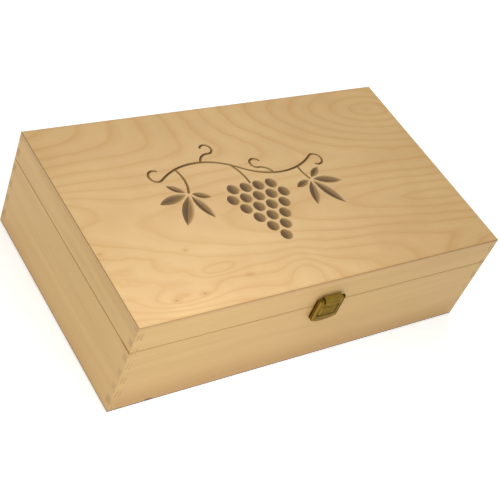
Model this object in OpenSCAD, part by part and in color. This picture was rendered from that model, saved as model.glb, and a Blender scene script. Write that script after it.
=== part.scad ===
// Wooden wine box for two bottles: a box-jointed case sawn into a base and a lid,
// with two butt hinges behind and a toggle latch in front.
// Origin at the centre of the bottom face, +X along the length, -Y to the front, +Z up.

/* [Case] */
// Outside length
box_length = 350; // [300:1:420]
// Outside depth, front to back
box_depth = 200; // [165:1:245]
// Height of the base, up to the middle of the saw cut
base_height = 69.3; // [57:0.1:120]
// Height of the lid, above the middle of the saw cut
lid_height = 27.1; // [22:0.1:60]
// Width of the saw cut between base and lid
kerf = 0.4; // [0.3:0.1:1]
// Radius of the eased outside edges
edge_r = 0.9; // [0.5:0.1:1.5]
// Bevel left on both sides of the saw cut
cut_bevel = 0.35; // [0.2:0.05:0.8]

/* [Boards] */
// Thickness of the side, front and back boards
board_t = 6.5; // [5:0.1:8]
// Thickness of the plywood under the base and on the lid
panel_t = 3; // [2.4:0.1:4]
// Height of one finger of the box joints
finger_h = 8.2; // [6:0.1:12]

/* [Carving] */
// Depth of the carving in the lid
carve_depth = 0.8; // [0.4:0.1:1.2]
// Middle of the carved branch, left of the middle of the lid
carve_shift = 16; // [0:1:30]
// Middle of the carved branch, behind the middle of the lid
carve_rise = 28; // [20:1:32]
// Radius of one carved grape
grape_r = 5.6; // [4:0.1:6.2]
// Distance between neighbouring grapes
grape_pitch = 12.4; // [12.4:0.1:14]
// Width of the carved stalks and tendrils
stalk_w = 2.2; // [1.4:0.1:3]

/* [Hinges] */
// Distance between the two hinges, middle to middle
hinge_spacing = 210; // [150:1:260]
// Length of a hinge along the box
hinge_length = 25; // [20:1:38]
// Height of one hinge leaf
leaf_height = 13; // [11:0.5:18]
// Thickness of a hinge leaf
leaf_t = 0.8; // [0.6:0.1:1.2]
// Radius of the hinge pin
hinge_pin_r = 0.8; // [0.6:0.05:1]
// Outer radius of the hinge knuckles
knuckle_r = 1.7; // [1.5:0.1:2.4]
// Knuckles in one hinge, an odd number
knuckles = 5; // [3:2:7]

/* [Latch] */
// Width of the lever
lever_w = 25.2; // [24:0.1:32]
// How far the lever reaches below the saw cut
lever_drop = 17.6; // [16:0.1:24]
// Distance from the box to the front of the lever
lever_front = 4.9; // [4.7:0.1:6]
// Thickness of the lever's sheet
lever_t = 0.7; // [0.5:0.1:0.9]
// Height of the lever's pivot above the saw cut
pivot_rise = 7.3; // [6.8:0.1:9]
// Radius of the lever's pivot pin
pivot_pin_r = 0.6; // [0.5:0.05:0.8]
// Height of the hook's pivot above the saw cut
hook_pivot_rise = 2.8; // [2.5:0.1:3.2]
// Radius of the hook's pivot pin
hook_pin_r = 0.5; // [0.4:0.05:0.6]
// Width of the hook plate
hook_w = 16.4; // [15:0.1:17.5]
// Thickness of the hook plate
hook_t = 0.55; // [0.4:0.05:0.7]
// Height of the hook's arch above the saw cut
hook_top = 10.7; // [10.4:0.1:13]

/* [Small nails] */
// Radius of the nail shanks
nail_r = 0.6; // [0.4:0.05:0.8]
// Radius of the nail heads
nail_head_r = 1.4; // [1:0.1:1.6]
// Height of the nail heads
nail_head_h = 0.5; // [0.3:0.05:0.6]
// How deep the nails go into the wood
nail_depth = 5; // [3:0.1:5]

/* [Fits] */
// Radial clearance of a pin that turns in its hole
running_fit = 0.05; // [0.02:0.01:0.1]
// Radial clearance of a pin or nail that is fixed in its hole
fixed_fit = 0.03; // [0.01:0.01:0.05]
// Gap between parts that pass each other
gap = 0.3; // [0.2:0.05:0.5]

/* [Hidden] */
$fn = 64;
eps = 0.01;

// Heights and faces that the pieces share
box_height = base_height + lid_height;
front_y = -box_depth / 2;
back_y = box_depth / 2;
base_rim = base_height - kerf / 2;
lid_rim = base_height + kerf / 2;
frame_low = panel_t;
frame_high = box_height - panel_t;
courses = ceil(box_height / finger_h);
through = 1;

wood_end = "burlywood";
wood_side = "wheat";
wood_panel = "navajowhite";
brass = "darkgoldenrod";

// ---------------------------------------------------------------- wood

// Outline of the case seen from above, with eased corners
module plan_outline() {
    half_l = box_length / 2 - edge_r;
    half_d = box_depth / 2 - edge_r;
    square([2 * half_l, box_depth], center = true);
    square([box_length, 2 * half_d], center = true);
    for (x = [-half_l, half_l], y = [-half_d, half_d])
        translate([x, y]) circle(edge_r);
}

// Rectangle whose two upper corners are rounded, standing on y = 0
module eased_section(width, height) {
    half_w = width / 2 - edge_r;
    translate([-width / 2, 0]) square([width, height - edge_r]);
    translate([-half_w, 0]) square([2 * half_w, height]);
    for (x = [-half_w, half_w])
        translate([x, height - edge_r]) circle(edge_r);
}

// A plywood sheet with an eased outer rim, its flat side at z = 0
module eased_sheet() {
    intersection() {
        linear_extrude(panel_t) plan_outline();
        rotate([90, 0, 0])
            linear_extrude(box_depth, center = true) eased_section(box_length, panel_t);
        rotate([90, 0, 90])
            linear_extrude(box_length, center = true) eased_section(box_depth, panel_t);
    }
}

// Bars that bevel the outer edges on both sides of the saw cut
module cut_bevel_bars() {
    side = (cut_bevel + kerf / 2) * sqrt(2);
    for (y = [front_y, back_y])
        translate([0, y, base_height]) rotate([45, 0, 0])
            cube([box_length + through, side, side], center = true);
    for (x = [-box_length / 2, box_length / 2])
        translate([x, 0, base_height]) rotate([0, 45, 0])
            cube([side, box_depth + through, side], center = true);
}

// Every second course of fingers: first = 0 for the left and right boards, 1 for front and back
module finger_gaps(first, size_x, size_y) {
    for (k = [first : 2 : courses], x = [-1, 1], y = [-1, 1])
        translate([x * box_length / 2, y * box_depth / 2, (k + 0.5) * finger_h])
            cube([size_x, size_y, finger_h], center = true);
}

// A board of the front or the back, between two heights; side is -1 in front and 1 behind
module long_board(side, low, high) {
    difference() {
        intersection() {
            translate([0, 0, low]) linear_extrude(high - low) plan_outline();
            translate([0, side * (box_depth - board_t) / 2, (low + high) / 2])
                cube([box_length, board_t, high - low], center = true);
        }
        finger_gaps(0, 2 * board_t, 3 * board_t);
        cut_bevel_bars();
    }
}

// A board of the left or the right, between two heights; side is -1 on the left and 1 on the right
module short_board(side, low, high) {
    difference() {
        intersection() {
            translate([0, 0, low]) linear_extrude(high - low) plan_outline();
            translate([side * (box_length - board_t) / 2, 0, (low + high) / 2])
                cube([board_t, box_depth, high - low], center = true);
        }
        finger_gaps(1, 3 * board_t, 2 * board_t);
        cut_bevel_bars();
    }
}

module base_front_board() color(wood_side) {
    difference() {
        long_board(-1, frame_low, base_rim);
        latch_base_nail_places() nail_hole();
    }
}

module base_back_board() color(wood_side) {
    difference() {
        long_board(1, frame_low, base_rim);
        hinge_nail_places(-1) nail_hole();
    }
}

module base_left_board() color(wood_end) short_board(-1, frame_low, base_rim);

module base_right_board() color(wood_end) short_board(1, frame_low, base_rim);

module base_bottom_panel() color(wood_panel)
    translate([0, 0, panel_t]) rotate([180, 0, 0]) eased_sheet();

module lid_front_board() color(wood_side) {
    difference() {
        long_board(-1, lid_rim, frame_high);
        strike_nail_places() nail_hole();
    }
}

module lid_back_board() color(wood_side) {
    difference() {
        long_board(1, lid_rim, frame_high);
        hinge_nail_places(1) nail_hole();
    }
}

module lid_left_board() color(wood_end) short_board(-1, lid_rim, frame_high);

module lid_right_board() color(wood_end) short_board(1, lid_rim, frame_high);

module lid_top_panel() color(wood_panel) {
    difference() {
        translate([0, 0, frame_high]) eased_sheet();
        translate([-carve_shift, carve_rise, box_height]) carving();
    }
}

// ---------------------------------------------------------------- carving

// The carving is a grape bunch that hangs from a waving branch with two leaves and four tendrils.
// Its cuts hang down from z = 0, and its origin is the middle of the branch.
branch_r = 60;
branch_chord = 72;
branch_angle = 2 * asin(branch_chord / 2 / branch_r);
branch_drop = sqrt(branch_r ^ 2 - (branch_chord / 2) ^ 2);
branch_curl = 6;
bunch_rows = [4, 5, 4, 3, 2, 1];
bunch_top = -22;
stem_r = 40;
stem_foot = bunch_top + 4.5;
stem_sweep = 32;
stalk_r = 30;
lobe_root = 2.2;
// each lobe of a leaf: direction, length and width
lobes = [[0, 34, 10.4], [-48, 28, 9], [48, 28, 9], [-98, 17, 6.8], [98, 17, 6.8]];
// each leaf: place, direction, and the bend of its stalk back to the branch
leaves = [[[-58, -18], -120, -52], [[57, -25], -62, 31]];
// each tendril: place on the branch, direction, bend before the curl, and side that it turns to
shoots = [[[-30, 11.7], 75, 80, 1], [[28, -11.4], 105, 75, -1]];
shoot_r = 11;
shoot_curl = 5;

// A V groove along an arc about the origin, from one angle to another, with a round tip at some ends
module groove(radius, from, to, tips) {
    half = stalk_w / 2;
    rotate([0, 0, from]) rotate_extrude(angle = to - from)
        polygon([[radius - half, 0], [radius + half, 0], [radius, -carve_depth]]);
    for (a = tips)
        rotate([0, 0, a]) translate([radius, 0, -carve_depth])
            cylinder(h = carve_depth, r1 = 0, r2 = half);
}

// A chip-carved lens from the origin along +X, where two cones meet
module lens(length, width) {
    r = (length ^ 2 + width ^ 2) / (4 * width);
    depth = carve_depth * r / (width / 2);
    intersection() {
        translate([length / 2, r - width / 2, -depth])
            cylinder(h = depth, r1 = 0, r2 = r, $fn = 180);
        translate([length / 2, width / 2 - r, -depth])
            cylinder(h = depth, r1 = 0, r2 = r, $fn = 180);
    }
}

// A vine leaf round the origin, its middle lobe along +X
module vine_leaf() {
    for (lobe = lobes)
        rotate([0, 0, lobe[0]]) translate([lobe_root, 0, 0]) lens(lobe[1], lobe[2]);
}

// The stalk that reaches the origin along +X: it bends left, or right where the bend is negative
module leaf_stalk(bend) {
    mirror([0, bend < 0 ? 1 : 0, 0])
        translate([0, stalk_r, 0]) groove(stalk_r, -90 - abs(bend), -90, [-90]);
}

// A shallow round hollow, part of a ball
module grape() {
    ball_r = (grape_r ^ 2 + carve_depth ^ 2) / (2 * carve_depth);
    rotate_extrude() intersection() {
        translate([0, ball_r - carve_depth]) circle(ball_r, $fn = 180);
        translate([0, -carve_depth]) square([grape_r + 1, carve_depth + eps]);
    }
}

// Hexagonal rows of grapes, widest near the top
module grape_bunch() {
    for (row = [0 : len(bunch_rows) - 1], i = [0 : bunch_rows[row] - 1])
        translate([
            (i - (bunch_rows[row] - 1) / 2) * grape_pitch,
            bunch_top - row * grape_pitch * sqrt(3) / 2,
            0
        ])
            grape();
}

// A curl that leaves the origin towards +X and turns left
module tendril(size) {
    translate([0, size, 0]) groove(size, -90, 165, [165]);
}

// A tendril that leaves the origin towards +X, bends right and then curls left
module shoot(bend) {
    translate([0, -shoot_r, 0]) groove(shoot_r, 90 - bend, 90, [90 - bend]);
    translate([shoot_r * sin(bend), shoot_r * (cos(bend) - 1), 0])
        rotate([0, 0, -bend]) tendril(shoot_curl);
}

module carving() {
    // the branch is an S of two arcs, and a tendril curls back from each end
    for (turn = [0, 180])
        rotate([0, 0, turn]) {
            translate([branch_chord / 2, branch_drop, 0])
                groove(branch_r, 270 - branch_angle / 2, 270 + branch_angle / 2, []);
            translate([branch_chord, 0, 0]) rotate([0, 0, branch_angle / 2])
                mirror([0, 1, 0]) tendril(branch_curl);
        }
    grape_bunch();
    translate([-stem_r, stem_foot, 0]) groove(stem_r, 0, stem_sweep, [0]);
    for (leaf = leaves)
        translate(leaf[0]) rotate([0, 0, leaf[1]]) {
            vine_leaf();
            leaf_stalk(leaf[2]);
        }
    for (s = shoots)
        translate(s[0]) rotate([0, 0, s[1]])
            mirror([0, s[3] < 0 ? 1 : 0, 0]) shoot(s[2]);
}

// ---------------------------------------------------------------- nails

// A small nail driven along -Z, with the seat of its head at z = 0
module nail() {
    head_ball = (nail_head_r ^ 2 + nail_head_h ^ 2) / (2 * nail_head_h);
    point_h = 1.5 * nail_r;
    translate([0, 0, point_h - nail_depth]) cylinder(h = nail_depth - point_h, r = nail_r);
    translate([0, 0, -nail_depth]) cylinder(h = point_h, r1 = nail_r / 4, r2 = nail_r);
    intersection() {
        translate([0, 0, nail_head_h - head_ball]) sphere(head_ball);
        cylinder(h = nail_head_h + eps, r = nail_head_r + eps);
    }
}

// The hole that a nail fills in the wood and in the sheet it holds
module nail_hole() {
    translate([0, 0, -nail_depth - gap]) cylinder(h = nail_depth + gap + through, r = nail_r + fixed_fit);
}

// ---------------------------------------------------------------- hinges

hinge_y = back_y + knuckle_r + gap;
knuckle_gap = 0.2;
knuckle_l = (hinge_length - (knuckles - 1) * knuckle_gap) / knuckles;
leaf_near = knuckle_r + gap;
leaf_far = leaf_near + leaf_height - knuckle_r;
hinge_nail_x = hinge_length / 2 - 4.5;
hinge_nails = [[-hinge_nail_x, 0.35], [0, 0.68], [hinge_nail_x, 0.35]];

// Nail places of both hinges on the base (side = -1) or on the lid (side = 1), heads outwards
module hinge_nail_places(side) {
    for (x = [-hinge_spacing / 2, hinge_spacing / 2])
        one_hinge_nail_places(x, side) children();
}

module one_hinge_nail_places(x, side) {
    for (n = hinge_nails)
        translate([
            x + n[0],
            back_y + leaf_t,
            base_height + side * (leaf_near + n[1] * (leaf_far - leaf_near))
        ])
            rotate([-90, 0, 0]) children();
}

// One leaf: a sheet on the back of the case, rolled round the pin at every second knuckle
module hinge_leaf(x, side, first) {
    pitch = knuckle_l + knuckle_gap;
    difference() {
        union() {
            translate([
                x - hinge_length / 2,
                back_y,
                side > 0 ? base_height + leaf_near : base_height - leaf_far
            ])
                cube([hinge_length, leaf_t, leaf_far - leaf_near]);
            for (k = [first : 2 : knuckles - 1])
                translate([x - hinge_length / 2 + k * pitch, 0, 0]) {
                    translate([0, hinge_y, base_height]) rotate([0, 90, 0])
                        cylinder(h = knuckle_l, r = knuckle_r);
                    translate([
                        0,
                        back_y,
                        side > 0 ? lid_rim : base_height - leaf_near - eps
                    ])
                        cube([knuckle_l, leaf_t, leaf_near - kerf / 2 + eps]);
                }
        }
        translate([x, hinge_y, base_height]) rotate([0, 90, 0])
            cylinder(h = hinge_length + through, r = hinge_pin_r + running_fit, center = true);
        one_hinge_nail_places(x, side) nail_hole();
    }
}

module hinge_pin(x) {
    translate([x, hinge_y, base_height]) rotate([0, 90, 0])
        cylinder(h = hinge_length, r = hinge_pin_r, center = true);
}

module left_hinge_base_leaf() color(brass) hinge_leaf(-hinge_spacing / 2, -1, 0);

module left_hinge_lid_leaf() color(brass) hinge_leaf(-hinge_spacing / 2, 1, 1);

module left_hinge_pin() color(brass) hinge_pin(-hinge_spacing / 2);

module right_hinge_base_leaf() color(brass) hinge_leaf(hinge_spacing / 2, -1, 0);

module right_hinge_lid_leaf() color(brass) hinge_leaf(hinge_spacing / 2, 1, 1);

module right_hinge_pin() color(brass) hinge_pin(hinge_spacing / 2);

module hinge_base_nails() color(brass) hinge_nail_places(-1) nail();

module hinge_lid_nails() color(brass) hinge_nail_places(1) nail();

// ---------------------------------------------------------------- latch

// Latch outlines are drawn as [distance from the box, height above the saw cut] from the side,
// and as [distance along the box, height above the saw cut] from the front.
wall_gap = 0.5;
lever_half = lever_w / 2;
curl_r = 2;
pivot_out = lever_front - curl_r;
curl_end = 0.9;
bottom_bevel = 1.5;
bottom_bevel_h = 6;
skirt_rise = 4.8;
window_half = hook_w / 2 + gap + 0.1;
window_sill = pivot_rise - 1.7;
ear_t = 0.6;
ear_half = lever_half - lever_t - gap;
ear_reach = 1.5;
ear_boss_r = curl_r - lever_t - 0.2;
barrel_r = curl_r - 0.3;
barrel_end = ear_half - ear_t - 0.2;
plate_t = 0.6;
plate_drop = 12;
hook_eye_r = hook_pin_r + running_fit + 0.6;
hook_pivot_out = lever_front - 0.3;
hook_eye_half = 2.4;
hook_foot = 0.5;
hook_front = hook_pivot_out + hook_eye_r;
hook_bend_r = 2.6;
hook_back = 1.2;
hook_tip_h = 1.3;
lug_w = 1.1;
pad_w = 16.4;
pad_h = 9;
pad_top = 1;
pad_t = 0.5;
strike_t = 0.5;
strike_half = hook_w / 2 - 0.8;
strike_low = 0.8;
strike_lip = 0.4;

// Extrudes a side outline along the length of the box, centred
module from_side(width) {
    translate([0, front_y, base_height]) rotate([90, 0, -90])
        linear_extrude(width, center = true) children();
}

// Extrudes a front outline outwards from the box
module from_front(depth) {
    translate([0, front_y, base_height]) rotate([90, 0, 0]) linear_extrude(depth) children();
}

// A cylinder along the length of the box, centred
module cross_pin(out, rise, radius, length) {
    translate([0, front_y - out, base_height + rise]) rotate([0, 90, 0])
        cylinder(h = length, r = radius, center = true);
}

// Side outline of the lever, drawn in by a sheet's thickness for its hollow
module lever_side(inset, back) {
    front = lever_front - inset;
    low = -lever_drop + inset;
    translate([pivot_out, pivot_rise]) circle(curl_r - inset);
    polygon([
        [back, low],
        [front - bottom_bevel, low],
        [front, low + bottom_bevel_h],
        [front, pivot_rise],
        [pivot_out, pivot_rise + curl_r - inset],
        [back, pivot_rise - 0.7]
    ]);
}

// Front outline of the lever: straight sides and a curved lower edge
module lever_face(inset) {
    half = lever_half - inset;
    r = (lever_half ^ 2 + skirt_rise ^ 2) / (2 * skirt_rise);
    intersection() {
        translate([-half, -lever_drop]) square([2 * half, lever_drop + pivot_rise + 2 * curl_r]);
        translate([0, r - lever_drop]) circle(r - inset, $fn = 180);
    }
}

// Plan outline of the lever, its two front edges bevelled
module lever_plan(bevel) {
    polygon([
        [-lever_half, -through],
        [lever_half, -through],
        [lever_half, lever_front - bevel],
        [lever_half - bevel, lever_front],
        [bevel - lever_half, lever_front],
        [-lever_half, lever_front - bevel]
    ]);
}

module latch_lever() color(brass) {
    edge_bevel = 0.8;
    lug_x = hook_eye_half + gap;
    difference() {
        union() {
            difference() {
                intersection() {
                    from_side(lever_w) lever_side(0, wall_gap);
                    from_front(2 * lever_front) lever_face(0);
                    translate([0, front_y, base_height + 2 * pivot_rise]) rotate([180, 0, 0])
                        linear_extrude(2 * pivot_rise + lever_drop + through) lever_plan(edge_bevel);
                }
                // the hollow behind the sheet
                intersection() {
                    from_side(lever_w) lever_side(lever_t, -through);
                    from_front(2 * lever_front) lever_face(lever_t);
                }
                // the opening between the two curls
                translate([-window_half, front_y - 2 * lever_front, base_height + window_sill])
                    cube([2 * window_half, 3 * lever_front, 3 * curl_r + through]);
                // the end of the curls, short of the ears
                translate([
                    lever_t - lever_half,
                    front_y - pivot_out - curl_end,
                    base_height + pivot_rise - curl_r / 2
                ])
                    cube([2 * (lever_half - lever_t), pivot_out + curl_end, 3 * curl_r]);
            }
            pad();
            // the barrels that turn on the pivot pin
            for (x = [-1, 1])
                translate([x * (window_half + barrel_end) / 2, 0, 0])
                    cross_pin(pivot_out, pivot_rise, barrel_r, barrel_end - window_half);
            // the lugs that carry the hook's pin
            for (x = [-1, 1])
                translate([
                    x * (lug_x + lug_w / 2),
                    front_y - lever_front + (lever_t + hook_eye_r) / 2,
                    base_height + hook_pivot_rise
                ])
                    cube([lug_w, hook_eye_r + lever_t - 0.2, 2 * hook_eye_r], center = true);
        }
        // the slot for the eye of the hook
        translate([-lug_x, front_y - 2 * lever_front, base_height + hook_pivot_rise - hook_eye_r - gap])
            cube([2 * lug_x, 2 * lever_front - wall_gap, 2 * (hook_eye_r + gap)]);
        cross_pin(pivot_out, pivot_rise, pivot_pin_r + running_fit, lever_w + through);
        cross_pin(hook_pivot_out, hook_pivot_rise, hook_pin_r + fixed_fit, 2 * (lug_x + lug_w) + through);
    }
}

// The raised rectangle pressed into the lever, with sloping edges
module pad() {
    slope = pad_t;
    mid = pad_top - pad_h / 2;
    intersection() {
        from_side(pad_w) polygon([
            [lever_front - lever_t / 2, pad_top - pad_h],
            [lever_front, pad_top - pad_h],
            [lever_front + pad_t, pad_top - pad_h + slope],
            [lever_front + pad_t, pad_top - slope],
            [lever_front, pad_top],
            [lever_front - lever_t / 2, pad_top]
        ]);
        translate([0, front_y, base_height + mid + pad_h]) rotate([180, 0, 0])
            linear_extrude(2 * pad_h) polygon([
                [-pad_w / 2, 0],
                [pad_w / 2, 0],
                [pad_w / 2, lever_front],
                [pad_w / 2 - slope, lever_front + pad_t],
                [slope - pad_w / 2, lever_front + pad_t],
                [-pad_w / 2, lever_front]
            ]);
    }
}

module latch_lever_pin() color(brass) {
    head_t = 0.4;
    head_r = pivot_pin_r + 0.5;
    cross_pin(pivot_out, pivot_rise, pivot_pin_r, lever_w + 2 * gap);
    for (x = [-1, 1])
        translate([x * (lever_half + 0.1 + head_t / 2), 0, 0])
            cross_pin(pivot_out, pivot_rise, head_r, head_t);
}

module latch_base_plate() color(brass) {
    difference() {
        union() {
            translate([-ear_half, front_y - plate_t, base_height - plate_drop])
                cube([2 * ear_half, plate_t, plate_drop - kerf - gap]);
            for (x = [-1, 1])
                translate([x * (ear_half - ear_t / 2), 0, 0]) {
                    from_side(ear_t) {
                        translate([0, -plate_drop])
                            square([ear_reach, plate_drop - kerf - gap]);
                        translate([wall_gap - 0.1, -plate_drop + 1])
                            square([ear_reach - wall_gap + 0.1, plate_drop - 1 + pivot_rise + 0.3]);
                        translate([wall_gap - 0.1, pivot_rise - ear_boss_r])
                            square([pivot_out - wall_gap + 0.1, ear_boss_r + 0.3]);
                        translate([pivot_out, pivot_rise]) circle(ear_boss_r);
                    }
                }
        }
        cross_pin(pivot_out, pivot_rise, pivot_pin_r + fixed_fit, lever_w);
        latch_base_nail_places() nail_hole();
    }
}

// The plate that arches from the lever over to the strike, rolled round its pin at the lower end
module latch_hook() color(brass) {
    bend_out = hook_front - hook_bend_r;
    bend_rise = hook_top - hook_bend_r;
    difference() {
        union() {
            intersection() {
                from_side(hook_w) {
                    // front
                    translate([hook_front - hook_t, hook_pivot_rise])
                        square([hook_t, bend_rise - hook_pivot_rise]);
                    // bend
                    intersection() {
                        difference() {
                            translate([bend_out, bend_rise]) circle(hook_bend_r);
                            translate([bend_out, bend_rise]) circle(hook_bend_r - hook_t);
                        }
                        translate([bend_out, bend_rise]) square(hook_bend_r);
                    }
                    // top and tip
                    translate([hook_back, hook_top - hook_t]) square([bend_out - hook_back, hook_t]);
                    translate([hook_back, hook_top - hook_tip_h]) square([hook_t, hook_tip_h]);
                }
                from_front(2 * hook_front) {
                    translate([-hook_w / 2, hook_top - 0.5]) square([hook_w, 1]);
                    intersection() {
                        translate([0, hook_top - 0.5]) circle(hook_w / 2);
                        translate([-hook_w / 2, hook_pivot_rise + hook_foot]) square([hook_w, hook_top]);
                    }
                    translate([-hook_eye_half, hook_pivot_rise]) square([2 * hook_eye_half, 2]);
                }
            }
            cross_pin(hook_pivot_out, hook_pivot_rise, hook_eye_r, 2 * hook_eye_half);
        }
        cross_pin(hook_pivot_out, hook_pivot_rise, hook_pin_r + running_fit, hook_w);
    }
}

module latch_hook_pin() color(brass)
    cross_pin(hook_pivot_out, hook_pivot_rise, hook_pin_r, 2 * (hook_eye_half + gap + lug_w));

module latch_strike() color(brass) {
    lip_top = hook_top - hook_tip_h - gap;
    difference() {
        from_side(2 * strike_half) {
            translate([0, strike_low]) square([strike_t, lip_top - strike_low]);
            translate([strike_t - eps, lip_top - 0.6]) square([strike_lip + eps, 0.6]);
        }
        strike_nail_places() nail_hole();
    }
}

module latch_base_nail_places() {
    for (x = [-6, 6])
        translate([x, front_y - plate_t, base_height - plate_drop * 0.6]) rotate([90, 0, 0]) children();
}

module strike_nail_places() {
    for (x = [-1, 1])
        translate([x * (strike_half - 2), front_y - strike_t, base_height + strike_low + 3])
            rotate([90, 0, 0]) children();
}

module latch_base_nails() color(brass) latch_base_nail_places() nail();

module latch_strike_nails() color(brass) strike_nail_places() nail();

// ---------------------------------------------------------------- nodes

base_front_board();
base_back_board();
base_left_board();
base_right_board();
base_bottom_panel();
lid_front_board();
lid_back_board();
lid_left_board();
lid_right_board();
lid_top_panel();
left_hinge_base_leaf();
left_hinge_lid_leaf();
left_hinge_pin();
right_hinge_base_leaf();
right_hinge_lid_leaf();
right_hinge_pin();
hinge_base_nails();
hinge_lid_nails();
latch_base_plate();
latch_lever();
latch_lever_pin();
latch_hook();
latch_hook_pin();
latch_strike();
latch_base_nails();
latch_strike_nails();
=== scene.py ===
import math
from functools import reduce

import bpy
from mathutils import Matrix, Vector


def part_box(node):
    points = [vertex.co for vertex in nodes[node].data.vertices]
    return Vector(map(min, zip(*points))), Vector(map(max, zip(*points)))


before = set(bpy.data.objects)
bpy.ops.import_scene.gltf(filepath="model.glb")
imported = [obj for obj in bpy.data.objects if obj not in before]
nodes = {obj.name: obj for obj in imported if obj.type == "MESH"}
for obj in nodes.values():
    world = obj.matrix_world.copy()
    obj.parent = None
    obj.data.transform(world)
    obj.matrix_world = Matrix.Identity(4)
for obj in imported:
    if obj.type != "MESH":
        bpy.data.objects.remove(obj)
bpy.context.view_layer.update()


# ---------------------------------------------------------------- sizes in mm, from the frame
MM = 1000.0


def corners(node):
    """A node's lowest and highest corners at rest, in mm."""
    low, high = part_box(node)
    return low * MM, high * MM


top_low, top_high = corners("lid_top_panel")
base_low, base_high = corners("base_front_board")
lid_low, _ = corners("lid_front_board")
lever_low, lever_high = corners("latch_lever")

HALF_LENGTH, HALF_DEPTH, HEIGHT = top_high.x, top_high.y, top_high.z
FRONT = -HALF_DEPTH
PLY = top_high.z - top_low.z
BOARD = base_high.y - base_low.y
SPLIT = (base_high.z + lid_low.z) / 2
LEVER_HALF, LEVER_FOOT = lever_high.x, lever_low.z

# height of one finger of the box joints
FINGER = 8.2


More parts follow.
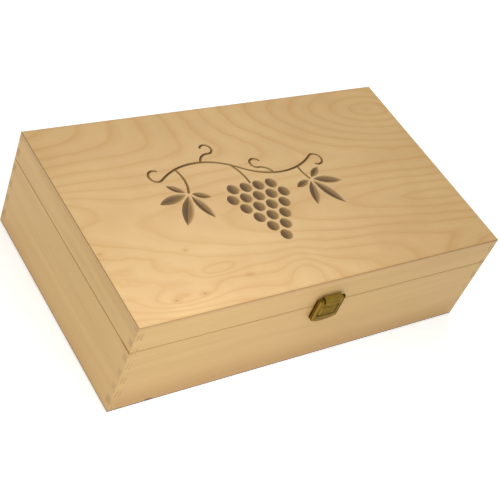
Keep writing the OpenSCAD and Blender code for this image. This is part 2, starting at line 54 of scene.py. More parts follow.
# ---------------------------------------------------------------- node helpers
class Graph:
    """A material's node tree. Sockets and plain numbers can be mixed as inputs.

    p is the shaded point in mm, with x, y and z, and nx, ny and nz are its normal's parts."""

    # inputs and output of a Mix node that mixes colours
    COLOUR_A, COLOUR_B, COLOUR_OUT = 6, 7, 2

    def __init__(self, name):
        self.mat = bpy.data.materials.new(name)
        self.mat.use_nodes = True
        self.tree = self.mat.node_tree
        self.tree.nodes.clear()
        out = self.tree.nodes.new("ShaderNodeOutputMaterial")
        self.shader = self.tree.nodes.new("ShaderNodeBsdfPrincipled")
        self.tree.links.new(self.shader.outputs[0], out.inputs[0])
        coord = self.tree.nodes.new("ShaderNodeTexCoord")
        self.p = self.vec("MULTIPLY", coord.outputs["Object"], (MM, MM, MM))
        self.x, self.y, self.z = self.split(self.p)
        self.nx, self.ny, self.nz = self.split(coord.outputs["Normal"])

    def put(self, socket, value):
        """Link an input to a socket, or set its own value."""
        if isinstance(value, bpy.types.NodeSocket):
            self.tree.links.new(value, socket)
        elif socket.type == "RGBA":
            socket.default_value = (*value, 1.0)
        else:
            socket.default_value = value

    def math(self, op, *values, clamp=False):
        node = self.tree.nodes.new("ShaderNodeMath")
        node.operation = op
        node.use_clamp = clamp
        for socket, value in zip(node.inputs, values):
            self.put(socket, value)
        return node.outputs[0]

    def add(self, *terms):
        return reduce(lambda a, b: self.math("ADD", a, b), terms)

    def mul(self, *factors):
        return reduce(lambda a, b: self.math("MULTIPLY", a, b), factors)

    def max(self, *values):
        return reduce(lambda a, b: self.math("MAXIMUM", a, b), values)

    def min(self, *values):
        return reduce(lambda a, b: self.math("MINIMUM", a, b), values)

    def sub(self, a, b):
        return self.math("SUBTRACT", a, b)

    def abs(self, v):
        return self.math("ABSOLUTE", v)

    def fract(self, v):
        return self.math("FRACT", v)

    def vec(self, op, *values):
        node = self.tree.nodes.new("ShaderNodeVectorMath")
        node.operation = op
        for socket, value in zip(node.inputs, values):
            self.put(socket, value)
        return node.outputs["Value" if op in ("LENGTH", "DOT_PRODUCT") else "Vector"]

    def from_place(self, place, stretch=(1.0, 1.0, 1.0)):
        """The way from a place to the shaded point, stretched along the axes."""
        return self.vec("MULTIPLY", self.vec("SUBTRACT", self.p, place), stretch)

    def split(self, v):
        node = self.tree.nodes.new("ShaderNodeSeparateXYZ")
        self.put(node.inputs[0], v)
        return node.outputs[0], node.outputs[1], node.outputs[2]

    def join(self, x, y, z):
        node = self.tree.nodes.new("ShaderNodeCombineXYZ")
        for socket, value in zip(node.inputs, (x, y, z)):
            self.put(socket, value)
        return node.outputs[0]

    def step(self, v, low, high):
        """0 below low, 1 above high, smooth between; falls instead where high < low."""
        node = self.tree.nodes.new("ShaderNodeMapRange")
        node.interpolation_type = "SMOOTHSTEP"
        rising = high > low
        self.put(node.inputs["Value"], v)
        node.inputs["From Min"].default_value = min(low, high)
        node.inputs["From Max"].default_value = max(low, high)
        node.inputs["To Min"].default_value = 0.0 if rising else 1.0
        node.inputs["To Max"].default_value = 1.0 if rising else 0.0
        return node.outputs[0]

    def band(self, v, low, full_low, full_high, high):
        """1 between the two middle values, 0 outside the outer two."""
        return self.mul(self.step(v, low, full_low), self.step(v, high, full_high))

    def near(self, v, at, width):
        """1 where v is at a value, 0 further than width from it."""
        return self.step(self.abs(self.sub(v, at)), width, 0.0)

    def noise(self, v, scale, detail=2.0, rough=0.5):
        """Soft noise from 0 to 1, with scale features to a unit of v."""
        node = self.tree.nodes.new("ShaderNodeTexNoise")
        self.put(node.inputs["Vector"], v)
        node.inputs["Scale"].default_value = scale
        node.inputs["Detail"].default_value = detail
        node.inputs["Roughness"].default_value = rough
        return node.outputs[0]

    def streaks(self, v, stretch, detail=2.0, rough=0.5):
        """Noise with a number of features to a unit of v along each axis."""
        return self.noise(self.vec("MULTIPLY", v, stretch), 1.0, detail, rough)

    def about_zero(self, v, strength):
        """A value from 0 to 1, moved to lie about zero and scaled."""
        return self.mul(self.sub(v, 0.5), strength)

    def bend(self, v, stretch, detail):
        """Streaks about zero, mostly within one to either side."""
        return self.about_zero(self.streaks(v, stretch, detail), 3.0)

    def shift(self, v, seed, stride):
        """v moved by seed strides, so that no two pieces share their grain."""
        return self.vec("ADD", v, [seed * s for s in stride])

    def ramp(self, v, stops):
        """Colours, or greys given as numbers, that run smoothly along v."""
        node = self.tree.nodes.new("ShaderNodeValToRGB")
        node.color_ramp.interpolation = "EASE"
        elements = node.color_ramp.elements
        while len(elements) < len(stops):
            elements.new(0.5)
        for element, (at, c) in zip(elements, stops):
            element.position = at
            element.color = (*c, 1.0) if isinstance(c, tuple) else (c, c, c, 1.0)
        self.put(node.inputs[0], v)
        return node.outputs[0]

    def mix(self, factor, a, b):
        """Colour a where factor is 0, and b where it is 1."""
        node = self.tree.nodes.new("ShaderNodeMix")
        node.data_type = "RGBA"
        self.put(node.inputs["Factor"], factor)
        self.put(node.inputs[self.COLOUR_A], a)
        self.put(node.inputs[self.COLOUR_B], b)
        return node.outputs[self.COLOUR_OUT]

    def bump(self, height, strength, distance):
        """A normal for small relief. distance is in metres."""
        node = self.tree.nodes.new("ShaderNodeBump")
        node.inputs["Strength"].default_value = strength
        node.inputs["Distance"].default_value = distance
        self.put(node.inputs["Height"], height)
        return node.outputs[0]

    def finish(self, **inputs):
        """The material, with these inputs of its shader set or linked."""
        for key, value in inputs.items():
            self.put(self.shader.inputs[key.replace("_", " ")], value)
        return self.mat


def shade(*rgb):
    """A colour given as 0 to 255 on screen, as the shader's linear numbers."""
    return tuple(c / 255 / 12.92 if c <= 10 else ((c / 255 + 0.055) / 1.055) ** 2.4 for c in rgb)


# ---------------------------------------------------------------- colours
# boards: face, painted shade at the foot, fingers seen on end, glue lines and saw cut
BOARD_LIGHT = shade(219, 183, 121)
BOARD_DARK = shade(196, 155, 96)
BOARD_FOOT_SHADE = shade(178, 132, 72)
END_GRAIN = shade(170, 128, 90)
END_STROKE = shade(118, 84, 50)
GLUE = shade(150, 110, 62)
SEAM = shade(112, 76, 40)
WARM_SEAM = shade(172, 100, 28)

# plywood: face, figure, knots, the layers of its edge, and the burnt carving
PLY_LIGHT = shade(226, 187, 123)
PLY_DARK = shade(201, 153, 89)
FIGURE = shade(200, 144, 64)
KNOT = shade(136, 84, 22)
EDGE_LIGHT = shade(207, 166, 98)
EDGE_CUT = shade(176, 128, 74)
EASED = shade(138, 94, 48)
BURNT = shade(84, 54, 10)
BURNT_PALE = shade(155, 119, 58)

# antique brass
BRASS_LIGHT = shade(142, 116, 36)
BRASS = shade(124, 98, 24)
BRASS_BROWN = shade(106, 74, 18)
BRASS_WARM = shade(140, 100, 26)
# painted shade, painted shadow and painted highlight for the latch
BRASS_SHADE = shade(84, 62, 14)
PAINTED_SHADOW = shade(36, 22, 4)
PAINTED_HIGHLIGHT = shade(160, 134, 60)
BRASS_GLOSS = (0.8, 0.65, 0.3)

# ---------------------------------------------------------------- boards
BOARD_SHIFT = (37.0, 11.0, 23.0)
RING_PITCH = 4.1
RING_STOPS = [(0.0, 0.2), (0.4, 0.0), (0.78, 0.7), (0.92, 1.0), (1.0, 0.2)]

# how far the rings bend, in mm, in long waves and in short ones
LONG_BEND, SHORT_BEND = 5.0, 1.1

# how much each mark darkens the wood
BASE_TONE, RING_TONE, FIBRE_TONE, STREAK_TONE, CLOUD_TONE = 0.30, 0.26, 0.30, 0.95, 0.6

# painted shade that darkens the foot of the case, weaker on the short boards
FOOT_SHADE_TOP, FOOT_SHADE_LOW, FOOT_SHADE_LONG_BOARD, FOOT_SHADE_SHORT_BOARD = 30.0, 1.0, 0.5, 0.15

# depths in mm where the marks of the outer face are gone, and where they are full
OUTSIDE = (0.6, 0.2)

# the normal's part along the grain where a face becomes a board's end
END_TURN = (0.55, 0.8)

# where a finger's end shows its grain: in parts of its height, and in mm through the board
ON_HEIGHT = (0.04, 0.2, 0.82, 0.97)
ON_THICKNESS = (0.2, 1.3, 4.6, 6.2)

# slanting strokes on a finger's end: place in mm through the board, and strength
STROKES = [(1.8, 1.0), (4.5, 0.8)]

# half their width, their slant over the finger's height, and their waviness, in mm
STROKE_HALF, STROKE_SLANT, STROKE_WAVE = 0.5, -1.4, 0.3

# a glue line between fingers is full and then gone this far from its middle, and ends this far
# past their shoulder
GLUE_FULL, GLUE_END, PAST_SHOULDER = 0.04, 0.20, 0.2

# half the width of the glue line along the shoulder
SHOULDER_HALF = 0.14

# the varnish is dark this far above and below the saw cut, and in front it fades from the
# first to the second of these places along the box
SEAM_HALF, SEAM_FULL_X, SEAM_END_X = 0.55, 10.0, 60.0

# on the left side the cut looks open: fully up to the first distance from the front, and no
# more at the second
GAP_FULL, GAP_END = 8.0, 17.0

# its warm lips lie this far above and below the cut's middle, and fade this far to each side
LIP_PLACE, LIP_HALF = 0.85, 0.6


def end_grain(g, lengthwise, across, wave, colour):
    """Fingers seen on end: soft patches on the long boards, slanting strokes on the short ones."""
    in_finger = g.fract(g.mul(g.z, 1 / FINGER))
    inside = g.band(in_finger, *ON_HEIGHT)
    if lengthwise:
        grainy = g.step(g.streaks(g.p, (1.0, 2.2, 0.5), 2.0, 0.7), 0.35, 0.62)
        patch = g.mul(g.band(across, *ON_THICKNESS), inside, g.add(0.12, g.mul(grainy, 0.5)))
        return g.mix(patch, colour, END_GRAIN)
    specks = g.step(g.streaks(g.p, (1.6, 1.6, 1.6), 2.0, 0.6), 0.30, 0.55)
    slant = g.add(across, g.mul(in_finger, STROKE_SLANT), g.mul(wave, STROKE_WAVE))
    strokes = g.max(*[g.mul(g.near(slant, at, STROKE_HALF), strength) for at, strength in STROKES])
    return g.mix(g.mul(strokes, inside, specks, 0.85), colour, END_STROKE)


def glue_lines(g, corner, outside, streak, colour):
    """Hairlines between the fingers and along the shoulder of the joint."""
    in_course = g.fract(g.add(g.mul(g.z, 1 / FINGER), 0.5))
    to_course = g.mul(g.abs(g.sub(in_course, 0.5)), FINGER)
    between = g.mul(g.step(to_course, GLUE_END, GLUE_FULL), g.step(corner, BOARD + PAST_SHOULDER, BOARD))
    lines = g.max(between, g.near(corner, BOARD, SHOULDER_HALF))
    return g.mix(g.mul(lines, outside, g.step(streak, 0.3, 0.7), 0.5), colour, GLUE)


def saw_cut(g, lengthwise, outside, colour):
    """Darkened varnish along the saw cut, and warm lips where the cut looks open."""
    cut = g.mul(g.near(g.z, SPLIT, SEAM_HALF), outside)
    if lengthwise:
        left = g.step(g.x, SEAM_END_X, SEAM_FULL_X)
        return g.mix(g.mul(cut, g.add(0.1, g.mul(left, 0.45))), colour, SEAM)
    left = g.step(g.x, 0.0, -1.0)
    gap = g.mul(outside, left, g.step(g.y, FRONT + GAP_END, FRONT + GAP_FULL))
    lips = g.near(g.abs(g.sub(g.z, SPLIT)), LIP_PLACE, LIP_HALF)
    colour = g.mix(g.mul(gap, lips), colour, WARM_SEAM)
    return g.mix(g.mul(cut, g.sub(0.45, g.mul(gap, 0.4))), colour, SEAM)


def board(name, along, seed, tone=0.0, pith=(46.0, 30.0), fine=1.0, broad=1.0):
    """Solid wood whose grain runs along X or Y.

    tone darkens it. pith is the pith's distance behind the outer face, and its height. fine is the
    strength of rings and fibres, and broad that of the wide streaks."""
    g = Graph("wood_" + name)
    lengthwise = along == "X"
    to_side = g.sub(HALF_DEPTH, g.abs(g.y))
    to_end = g.sub(HALF_LENGTH, g.abs(g.x))
    grain, across, corner = (g.x, to_side, to_end) if lengthwise else (g.y, to_end, to_side)
    outside = g.step(across, *OUTSIDE)
    p = g.shift(g.join(grain, across, g.z), seed, BOARD_SHIFT)

    # growth rings round a pith behind the board, bent slowly along the grain
    long_wave = g.bend(p, (0.004, 0.018, 0.018), 1.0)
    short_wave = g.bend(p, (0.012, 0.07, 0.07), 2.0)
    radius = g.vec("LENGTH", g.join(0.0, g.sub(across, pith[0]), g.sub(g.z, pith[1])))
    radius = g.add(radius, g.mul(long_wave, LONG_BEND), g.mul(short_wave, SHORT_BEND))
    ring = g.ramp(g.fract(g.mul(radius, 1 / RING_PITCH)), RING_STOPS)

    # fibres, broad streaks and a slow change of tone
    fibre = g.streaks(p, (0.025, 1.5, 1.5), 3.0, 0.6)
    streak = g.streaks(p, (0.006, 0.085, 0.085))
    cloud = g.streaks(p, (0.006, 0.02, 0.02))
    marks = g.add(
        g.mul(ring, RING_TONE * fine),
        g.about_zero(streak, STREAK_TONE * broad),
        g.about_zero(cloud, CLOUD_TONE),
        g.about_zero(fibre, FIBRE_TONE * fine),
    )
    colour = g.mix(g.math("ADD", marks, BASE_TONE + tone, clamp=True), BOARD_LIGHT, BOARD_DARK)
    # painted shade: the case darkens towards the floor
    foot_shade = g.step(g.add(g.z, g.mul(long_wave, LONG_BEND)), FOOT_SHADE_TOP, FOOT_SHADE_LOW)
    colour = g.mix(g.mul(foot_shade, FOOT_SHADE_LONG_BOARD if lengthwise else FOOT_SHADE_SHORT_BOARD), colour, BOARD_FOOT_SHADE)

    on_end = g.step(g.abs(g.nx if lengthwise else g.ny), *END_TURN)
    colour = g.mix(on_end, colour, end_grain(g, lengthwise, across, short_wave, colour))
    colour = glue_lines(g, corner, outside, streak, colour)
    colour = saw_cut(g, lengthwise, outside, colour)
    relief = g.add(g.mul(fibre, 0.5), g.mul(ring, 0.3))
    return g.finish(
        Base_Color=colour,
        Roughness=g.add(0.46, g.mul(fibre, 0.16)),
        Specular_IOR_Level=0.35,
        Normal=g.bump(relief, 0.10, 0.0003),
    )


# ---------------------------------------------------------------- plywood
PLY_SHIFT = (91.0, 53.0, 17.0)
FIGURE_STOPS = [(0.0, 0.25), (0.42, 0.0), (0.70, 0.45), (0.86, 1.0), (1.0, 0.25)]
FIGURE_STRENGTH = 0.46

# thickness of an outer veneer, and how softly one layer gives way to the next
VENEER, BLUR = 0.6, 0.15

# half the height of the dark line where the plywood meets the boards
MEETING_HALF = 0.4

# the normal's part along Z where a face becomes flat, and where it is eased
FLAT_TURN = (0.5, 0.8)
EASED_TURN = (0.12, 0.4, 0.8, 0.97)

# the normal's part along X where an edge becomes one of the two short ones
SHORT_TURN = (0.5, 0.75)

# distances in mm from the long and the short edges where painted shade makes the faces tan, each
# where it is gone and where it is full
RIM_SHADE_LONG = (2.8, 0.4)
RIM_SHADE_SHORT = (1.4, 0.3)

# nests of arcs in the lid's figure: place, squeeze along the box, slope, and where they start
ARCS = (152, 72, 0.42, -0.12, 0)
TONGUE = (150, -38, 0.15, -0.08, 12)
CORNER = (200, -104, 0.26, -0.02, 30)

# its lines per mm, and how smoothly the nests run into one another
LINES_PER_MM, ARCS_TO_TONGUE, TONGUE_TO_CORNER = 0.112, 46.0, 26.0

# bumps in it: place, width, depth, and height in lines
MOUNDS = [
    (-196, 12, 46, 20, -2.6),
    (-92, -66, 20, 6, -1.9),
    (-132, -83, 30, 9, -2.4),
    (-160, -45, 30, 10, 0.8),
    (-20, -84, 18, 18, 1.6),
]

# where it is unsteady: place, width, depth, and how much
SQUIGGLES = (-145, -55, 45, 18, 0.5)

# pin knots in the lid: place, radius and strength
PIN_KNOTS = [
    (-170.9, -30.9, 0.9, 0.5),
    (-136.5, -84.5, 1.2, 0.5),
    (-112.8, -84.0, 1.3, 0.5),
    (-69.2, -76.7, 1.2, 0.3),
    (-106.8, -42.9, 0.9, 0.3),
]

# features of a pin knot per mm along each axis, and its halo's radius in knots
KNOT_STRETCH = (0.6, 1.1, 0.0)
HALO = 3.5

# the burn sets in between these distances from the lid's edges, in mm
CARVING_MARGIN = (6.0, 7.0)

# depths in mm where the burn sets in, and where the painted light on a wall's lip ends
BURN_STARTS = (0.02, 0.07)
LIT_LIP_ENDS = (0.4, 0.1)

# the normal's part along X where a wall goes from painted light to painted shade
WALL_SHADE_TURN = (-0.16, 0.16)

# heights in mm between which painted shade darkens the base's edge towards the floor
BASE_EDGE_SHADE = (2.4, 1.3)

# the normal's part along Z where the base's flat face starts, which doesn't darken
FACE_TURN = (0.97, 0.99)

# a knot in the edge of the base's plywood, in front on the left: place, and features per mm
EDGE_KNOT = (-140.5, FRONT, 2.0)
EDGE_KNOT_STRETCH = (0.24, 0.0, 0.45)


def lid_figure(g, long_wave, short_wave):
    """Height lines of the lid's veneer: nested arcs behind on the right, a long tongue through
    the middle, one in front on the right, and small eyes in front on the left."""

    def nest(x, y, squeeze, slope, start):
        dx, dy, _ = g.split(g.from_place((x, y, 0.0)))
        flat = g.join(g.mul(dx, squeeze), g.sub(dy, g.mul(dx, slope)), 0.0)
        return g.add(g.vec("LENGTH", flat), start)

    def mound(x, y, wide, deep, tall):
        d = g.from_place((x, y, 0.0), (1 / wide, 1 / deep, 0.0))
        return g.mul(g.math("EXPONENT", g.mul(g.vec("DOT_PRODUCT", d, d), -1.0)), tall)

    nests = g.math("SMOOTH_MIN", nest(*ARCS), nest(*TONGUE), ARCS_TO_TONGUE)
    nests = g.math("SMOOTH_MIN", nests, nest(*CORNER), TONGUE_TO_CORNER)
    mounds = [mound(*m) for m in MOUNDS]
    unsteady = g.mul(short_wave, g.add(mound(*SQUIGGLES), 0.12))
    return g.add(g.mul(nests, LINES_PER_MM), *mounds, g.mul(long_wave, 0.35), unsteady)


def base_figure(g, long_wave, short_wave):
    """Height lines of the base's veneer: wavy bands along the box."""
    wavy = g.mul(g.math("SINE", g.mul(g.x, 0.018)), 1.3)
    return g.add(g.mul(g.y, 0.07), wavy, g.mul(short_wave, 0.22), g.mul(long_wave, 0.6))


def veneer(g, plane, fibre, figure):
    """The plywood's faces, with the dark lines of the figure."""
    cloud = g.streaks(plane, (0.008, 0.022, 0.02))
    curl = g.streaks(plane, (0.055, 0.03, 0.02))
    marks = g.add(g.about_zero(cloud, 0.8), g.about_zero(curl, 0.4), g.about_zero(fibre, 0.25))
    face = g.mix(g.math("ADD", marks, 0.26, clamp=True), PLY_LIGHT, PLY_DARK)
    strength = g.add(0.35, g.streaks(plane, (0.012, 0.02, 0.02), 1.0))
    return g.mix(g.mul(figure, strength, FIGURE_STRENGTH), face, FIGURE)


def layers(g, outer, edge_x, strands):
    """The plywood's edge: outer veneers along X and one across between them, dark where they are
    cut across, and a dark line where the plywood meets the boards."""
    depth = g.abs(g.sub(g.z, outer))
    far = PLY - VENEER
    core = g.band(depth, VENEER - BLUR, VENEER + BLUR, far - BLUR, far + BLUR)
    cut_across = g.abs(g.sub(core, edge_x))
    light = g.mix(g.mul(strands, 0.6), EDGE_LIGHT, BOARD_DARK)
    dark = g.mix(g.mul(strands, 0.7), EDGE_CUT, END_STROKE)
    side = g.mix(g.mul(cut_across, g.add(0.12, g.mul(edge_x, 0.38))), light, dark)
    meeting = g.mul(g.near(depth, PLY, MEETING_HALF), g.add(0.15, g.mul(edge_x, 0.45)))
    return g.mix(meeting, side, SEAM)


def eased_edges(g, flat, rim, rim_x, strands, colour):
    """Painted shade, a tan rim on the faces where they are eased over to the sides, and a dark line
    along the easing.
    """
    # painted shade of the eased edges, laid on the flat faces near the rims
    rim_shade = g.max(g.step(rim, *RIM_SHADE_LONG), g.mul(g.step(rim_x, *RIM_SHADE_SHORT), 0.5))
    colour = g.mix(g.mul(rim_shade, flat, g.add(0.25, g.mul(strands, 0.35))), colour, PLY_DARK)
    eased = g.band(g.abs(g.nz), *EASED_TURN)
    return g.mix(g.mul(eased, g.add(0.25, g.mul(strands, 0.5))), colour, EASED)


def pin_knots(g, flat, outer, strands, colour):
    """Short dark streaks in golden halos."""
    for x, y, radius, strength in PIN_KNOTS:
        d = g.vec("LENGTH", g.from_place((x, y, outer), KNOT_STRETCH))
        d = g.add(d, g.about_zero(strands, 0.8))
        colour = g.mix(g.mul(g.step(d, HALO * radius, radius), flat, 0.4), colour, FIGURE)
        colour = g.mix(g.mul(g.step(d, radius, 0.1), flat, strength), colour, KNOT)
    return colour


def burnt_cuts(g, outer, rim, rim_x, colour):
    """The burnt carving, with painted shade on the walls that face right and painted light on the lips
    of the other walls. Gives how burnt it is, too.
    """
    deep = g.sub(outer, g.z)
    # painted shade on the walls that face right, painted light on the lips of the others
    shaded_wall = g.step(g.nx, *WALL_SHADE_TURN)
    lit_lip = g.mul(g.sub(1.0, shaded_wall), g.step(deep, *LIT_LIP_ENDS))
    inside = g.step(g.min(rim, rim_x), *CARVING_MARGIN)
    burn = g.mul(g.step(deep, *BURN_STARTS), inside, g.step(g.nz, 0.0, 0.1))
    burn = g.mul(burn, g.sub(0.97, g.mul(lit_lip, 0.45)))
    flecks = g.about_zero(g.streaks(g.p, (0.5, 1.3, 1.0), 3.0, 0.6), 0.6)
    # the burn's colour: painted shade on right-facing walls, and darker with depth and flecks
    dark = g.math("ADD", g.add(g.mul(shaded_wall, 0.75), g.mul(deep, 0.45)), flecks, clamp=True)
    return g.mix(burn, colour, g.mix(dark, BURNT_PALE, BURNT)), burn


def shaded_base_edge(g, edge_x, colour):
    """Painted shade darkens the base's edge towards the floor, and a small knot shows in front on the
    left.
    """
    on_edge = g.sub(1.0, g.step(g.abs(g.nz), *FACE_TURN))
    # painted shade along the base's edge, darkest at the floor, weaker on the short sides
    low = g.mul(g.step(g.z, *BASE_EDGE_SHADE), on_edge, g.sub(0.92, g.mul(edge_x, 0.45)))
    colour = g.mix(low, colour, BURNT)
    knot = g.step(g.vec("LENGTH", g.from_place(EDGE_KNOT, EDGE_KNOT_STRETCH)), 1.0, 0.5)
    return g.mix(g.mul(knot, g.step(g.y, FRONT + 1.0, FRONT)), colour, BURNT)


def plywood(name, seed, outer, carved=False):
    """Three-layer rotary-cut plywood whose outer face is at a given height."""
    g = Graph("ply_" + name)
    flat = g.step(g.abs(g.nz), *FLAT_TURN)
    edge_x = g.step(g.abs(g.nx), *SHORT_TURN)
    rim = g.sub(HALF_DEPTH, g.abs(g.y))
    rim_x = g.sub(HALF_LENGTH, g.abs(g.x))
    plane = g.vec("MULTIPLY", g.shift(g.p, seed, PLY_SHIFT), (1.0, 1.0, 0.02))
    fibre = g.streaks(plane, (0.10, 1.7, 1.7), 3.0, 0.6)
    strands = g.streaks(g.p, (0.35, 0.35, 5.0), 3.0, 0.6)

    long_wave = g.bend(plane, (0.009, 0.02, 0.02), 1.0)
    short_wave = g.bend(plane, (0.035, 0.08, 0.03), 2.0)
    heights = (lid_figure if carved else base_figure)(g, long_wave, short_wave)
    figure = g.ramp(g.fract(heights), FIGURE_STOPS)
    colour = g.mix(flat, layers(g, outer, edge_x, strands), veneer(g, plane, fibre, figure))
    colour = eased_edges(g, flat, rim, rim_x, strands, colour)
    rough = g.add(0.37, g.mul(fibre, 0.16))
    if carved:
        colour = pin_knots(g, flat, outer, strands, colour)
        colour, burn = burnt_cuts(g, outer, rim, rim_x, colour)
        rough = g.max(rough, g.mul(burn, 0.72))
    else:
        colour = shaded_base_edge(g, edge_x, colour)
    relief = g.add(g.mul(fibre, 0.5), g.mul(figure, 0.2))
    return g.finish(
        Base_Color=colour,
        Roughness=rough,
        Specular_IOR_Level=0.7,
        Normal=g.bump(relief, 0.08, 0.0003),
    )


# ---------------------------------------------------------------- brass
BRASS_SHIFT = (13.0, 7.0, 29.0)

# the lever's lower edge is an arc that rises this much towards its sides
SKIRT_RISE = 4.8

# the raised pad on the lever: half its width, and its top and bottom
PAD_HALF, PAD_TOP, PAD_LOW = 8.2, SPLIT + 1.0, SPLIT - 8.0

# in mm from the lever's right edge: a line of painted reflection, its half width, and where painted
# shade darkens the edge
HIGHLIGHT_PLACE, HIGHLIGHT_HALF, SHADE_END, SHADE_FULL = 3.0, 1.0, 2.3, 1.6

# in mm: height of the lever's warm lower edge, depth of the painted shadow in the recess beside the
# wood, and width of the painted shadow round the pad's foot, each where it is gone and where it is full
WARM = (3.2, 2.0)
RECESS_SHADOW = (2.4, 1.0)
PAD_FOOT_SHADOW = (1.4, 0.8)

# the painted shadow lies only by the pad's right and lower edges, this far in from them
PAD_RIGHT = (1.6, 0.9)
PAD_BELOW = (1.6, 1.0)


def lever_marks(g, colour):
    """Painted highlights down the lever's bevelled sides and on its pad's upper slope, a painted
    reflection and painted shade by its right edge, painted shadow round the foot of its pad and in the
    recess beside the wood, and a warm lower edge."""
    front = g.step(g.ny, 0.2, -0.2)
    # painted highlight on the bevels down the lever's sides
    bevel_highlight = g.mul(g.near(g.abs(g.nx), 0.7, 0.15), front)
    colour = g.mix(g.mul(bevel_highlight, 0.7), colour, PAINTED_HIGHLIGHT)
    from_right = g.sub(LEVER_HALF, g.x)
    # painted reflection of the right bevel, as a light line on the face
    colour = g.mix(g.mul(g.near(from_right, HIGHLIGHT_PLACE, HIGHLIGHT_HALF), front, 0.7), colour, PAINTED_HIGHLIGHT)
    # painted shade along the lever's right edge
    colour = g.mix(g.mul(g.step(from_right, SHADE_END, SHADE_FULL), 0.85), colour, BRASS_SHADE)
    arc = g.mul(g.x, g.x, SKIRT_RISE / LEVER_HALF**2)
    skirt = g.step(g.sub(g.sub(g.z, LEVER_FOOT), arc), *WARM)
    colour = g.mix(g.mul(skirt, front, 0.85), colour, BRASS_WARM)
    # painted shadow in the recess beside the wood
    recess_shadow = g.mul(g.step(g.nx, -0.7, -0.9), g.step(g.sub(FRONT, g.y), *RECESS_SHADOW))
    colour = g.mix(g.mul(recess_shadow, 0.85), colour, PAINTED_SHADOW)

    below = g.sub(g.z, PAD_LOW)
    above = g.sub(PAD_TOP, g.z)
    edge = g.min(g.sub(PAD_HALF, g.abs(g.x)), below, above)
    # painted shadow round the pad's foot, by its right and lower edges
    foot_shade = g.step(g.abs(g.add(edge, 0.1)), *PAD_FOOT_SHADOW)
    side = g.max(g.step(g.sub(PAD_HALF, g.x), *PAD_RIGHT), g.step(below, *PAD_BELOW))
    colour = g.mix(g.mul(foot_shade, front, side, 0.9), colour, PAINTED_SHADOW)
    # painted highlight on the pad's upper slope
    slope = g.mul(g.step(g.nz, 0.3, 0.6), g.near(above, 0.2, 0.6))
    return g.mix(g.mul(slope, 0.6), colour, PAINTED_HIGHLIGHT)


def hook_marks(g, colour):
    """Painted highlight on the faces that turn upwards where the plate bends over."""
    return g.mix(g.mul(g.step(g.nz, 0.0, 0.5), 0.55), colour, PAINTED_HIGHLIGHT)


def no_marks(g, colour):
    """A piece with nothing of its own."""
    return colour


MARKS = {"latch_lever": lever_marks, "latch_hook": hook_marks}


def brass(node, seed):
    """Antique brass: olive gold with a soft brown mottle, and painted shade that browns its sides and
    undersides.
    """
    g = Graph("brass_" + node)
    p = g.shift(g.p, seed, BRASS_SHIFT)
    mottle = g.noise(p, 0.22)
    fleck = g.noise(p, 1.8, 3.0, 0.6)
    brushed = g.streaks(p, (0.4, 5.0, 5.0))
    worn = g.add(g.mul(mottle, 0.75), g.mul(brushed, 0.25))
    colour = g.ramp(worn, [(0.28, BRASS_BROWN), (0.48, BRASS), (0.72, BRASS_LIGHT)])
    colour = g.mix(g.mul(g.step(fleck, 0.60, 0.75), 0.3), colour, BRASS_BROWN)
    # painted shade: faces turned to the sides or downwards are browner
    shaded_faces = g.max(g.step(g.abs(g.nx), 0.8, 0.95), g.step(g.nz, -0.1, -0.4))
    colour = g.mix(g.mul(shaded_faces, 0.6), colour, BRASS_BROWN)
    relief = g.add(g.mul(fleck, 0.5), g.mul(brushed, 0.4))
    return g.finish(
        Base_Color=MARKS.get(node, no_marks)(g, colour),
        Metallic=0.4,
        Roughness=g.add(0.38, g.mul(mottle, 0.2)),
        Specular_IOR_Level=0.1,
        Specular_Tint=BRASS_GLOSS,
        Normal=g.bump(relief, 0.08, 0.0002),
    )


# ---------------------------------------------------------------- dressing the frame
def dress(node, material):
    materials = nodes[node].data.materials
    materials.clear()
    materials.append(material)


BOARD_LOOKS = {
    "base_front": dict(along="X", seed=1, tone=0.04, pith=(50, 24), fine=0.45, broad=0.5),
    "lid_front": dict(along="X", seed=2, pith=(58, 70), fine=0.45, broad=0.5),
    "base_back": dict(along="X", seed=3, tone=0.06, pith=(42, 40)),
    "lid_back": dict(along="X", seed=4, tone=0.04, pith=(64, 84)),
    "base_left": dict(along="Y", seed=5, tone=0.08, pith=(44, 12), fine=0.5),
    "lid_left": dict(along="Y", seed=5.4, tone=0.06, pith=(52, 96), fine=0.5),
    "base_right": dict(along="Y", seed=6, tone=0.06, pith=(56, 52), fine=0.7),
    "lid_right": dict(along="Y", seed=7, tone=0.06, pith=(48, 78), fine=0.7),
}
for name, look in BOARD_LOOKS.items():
    dress(name + "_board", board(name, **look))
dress("lid_top_panel", plywood("lid", 1, HEIGHT, carved=True))
dress("base_bottom_panel", plywood("base", 2, 0.0))

brass_nodes = sorted(n for n in nodes if "hinge" in n or "latch" in n)
for i, node in enumerate(brass_nodes, start=1):
    dress(node, brass(node, i))

# ---------------------------------------------------------------- floor
# half the floor's side, and how far it lies below the box, in metres
FLOOR_HALF, FLOOR_DROP = 9.0, 0.0002

floor_corners = [
    (x * FLOOR_HALF, y * FLOOR_HALF, -FLOOR_DROP) for x, y in ((-1, -1), (1, -1), (1, 1), (-1, 1))
]
floor_mesh = bpy.data.meshes.new("floor")
floor_mesh.from_pydata(floor_corners, [], [(0, 1, 2, 3)])
floor = bpy.data.objects.new("floor", floor_mesh)
bpy.context.scene.collection.objects.link(floor)
paper = Graph("floor_paper")
floor_mesh.materials.append(
    paper.finish(
        Base_Color=paper.mix(paper.noise(paper.p, 0.02), (0.90, 0.90, 0.895), (0.92, 0.92, 0.915)),
        Roughness=0.9,
        Specular_IOR_Level=0.1,
        Emission_Color=(1.0, 1.0, 1.0),
        Emission_Strength=0.5,
    )
)

# ---------------------------------------------------------------- light
# the air gives a soft light, and shows as pale as the floor
AIR_LIGHT, AIR_SEEN = 0.36, 0.93

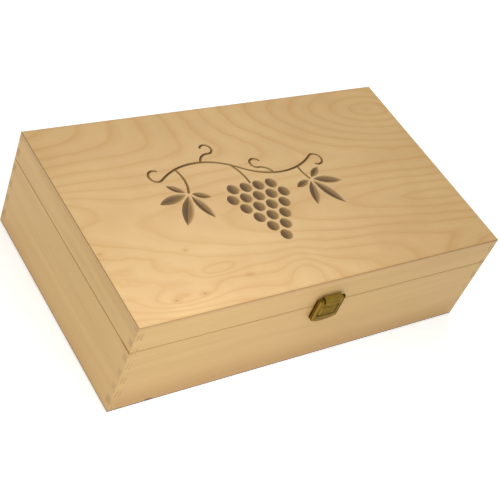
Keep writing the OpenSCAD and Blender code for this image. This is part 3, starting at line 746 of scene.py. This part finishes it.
world = bpy.data.worlds.new("studio")
world.use_nodes = True
air = world.node_tree.nodes["Background"]
air.inputs["Color"].default_value = (1.0, 1.0, 1.0, 1.0)
rays = world.node_tree.nodes.new("ShaderNodeLightPath")
amount = world.node_tree.nodes.new("ShaderNodeMapRange")
amount.inputs["To Min"].default_value = AIR_LIGHT
amount.inputs["To Max"].default_value = AIR_SEEN
world.node_tree.links.new(rays.outputs["Is Camera Ray"], amount.inputs["Value"])
world.node_tree.links.new(amount.outputs[0], air.inputs["Strength"])
bpy.context.scene.world = world


def lamp(name, kind, place, aim, energy, **props):
    """A lamp at a place, in metres, that points at another."""
    data = bpy.data.lights.new(name, kind)
    data.energy = energy
    for key, value in props.items():
        setattr(data, key, value)
    ob = bpy.data.objects.new(name, data)
    ob.location = place
    ob.rotation_euler = (Vector(aim) - Vector(place)).to_track_quat("-Z", "Y").to_euler()
    ob.visible_camera = False
    bpy.context.scene.collection.objects.link(ob)


lamp("window", "SUN", place=(-0.4, -0.1, 0.3), aim=(0, 0, 0), energy=0.4, angle=math.radians(50))
lamp("back", "AREA", place=(0.38, 0.35, 0.96), aim=(-0.06, -0.04, 0.09), energy=3.15, size=0.5)
lamp("key", "AREA", place=(-0.15, -0.2, 0.32), aim=(-0.15, -0.1, 0.09), energy=0.47, size=0.2)

# ---------------------------------------------------------------- camera
# fitted to the visible corners of the box: place in metres, turn in degrees, and the lens and
# the sensor's width in mm
CAMERA_PLACE = (-0.53819, -0.48069, 0.67316)
CAMERA_TURN = (45.354, -18.206, -31.434)
CAMERA_LENS, CAMERA_SENSOR = 83.09, 36.0

# the camera sees what lies between these distances, in metres
CAMERA_NEAR, CAMERA_FAR = 0.05, 50.0

camera_data = bpy.data.cameras.new("camera")
camera_data.lens = CAMERA_LENS
camera_data.sensor_width = CAMERA_SENSOR
camera_data.clip_start = CAMERA_NEAR
camera_data.clip_end = CAMERA_FAR
camera = bpy.data.objects.new("camera", camera_data)
camera.location = CAMERA_PLACE
camera.rotation_euler = [math.radians(a) for a in CAMERA_TURN]
bpy.context.scene.collection.objects.link(camera)
bpy.context.scene.camera = camera
bpy.context.scene.view_settings.view_transform = "Standard"
